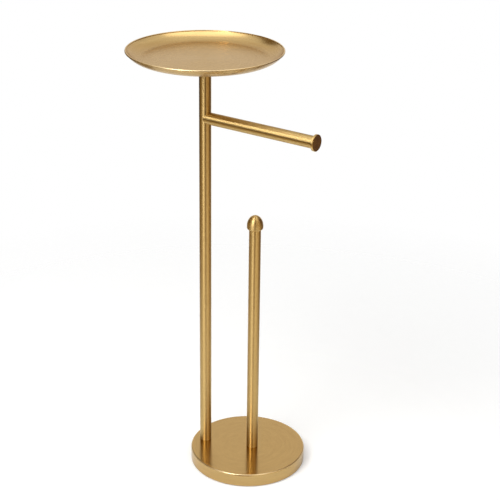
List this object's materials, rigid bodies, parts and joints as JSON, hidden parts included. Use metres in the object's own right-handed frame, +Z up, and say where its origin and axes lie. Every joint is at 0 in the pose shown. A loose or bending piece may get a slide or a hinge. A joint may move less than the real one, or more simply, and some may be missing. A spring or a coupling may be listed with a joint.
{
  "type": "toilet roll storage holder",
  "caption": "Free-standing brushed gold stand: weighted round base, post with a dished tray on top, level arm with an end cap, and an upright storage rod with a domed knob.",
  "frame": {"origin": "centre of the round base on the floor, at the underside of the pad", "axes": "+Z up; +X from the post's axis to the storage rod's axis; the arm points from the post 20 degrees from +X towards -Y"},
  "size_m": [0.2828, 0.216, 0.625],
  "materials": {
    "gold_steel": "satin gold coat over brushed stainless steel",
    "plain_steel": "zinc-plated, turned or stamped",
    "weight_iron": "black paint over the cast skin",
    "soft_pad": "matt closed-cell foam rubber"
  },
  "bodies": {
    "root": {"base_cover": "gold_steel", "base_weight": "weight_iron", "base_pad": "soft_pad", "post_tube": "gold_steel", "post_foot_plug": "plain_steel", "post_bolt": "plain_steel", "post_lock_washer": "plain_steel", "post_washer": "plain_steel", "post_top_plug": "plain_steel", "post_cross_plug": "plain_steel", "tray": "gold_steel", "tray_stud": "plain_steel", "arm_tube": "gold_steel", "arm_root_plug": "plain_steel", "arm_stud": "plain_steel", "arm_end_plug": "plain_steel", "arm_end_cap": "gold_steel", "storage_rod": "gold_steel", "rod_foot_plug": "plain_steel", "rod_bolt": "plain_steel", "rod_lock_washer": "plain_steel", "rod_washer": "plain_steel", "rod_top_plug": "plain_steel", "rod_knob": "gold_steel"}
  },
  "joints": []
}
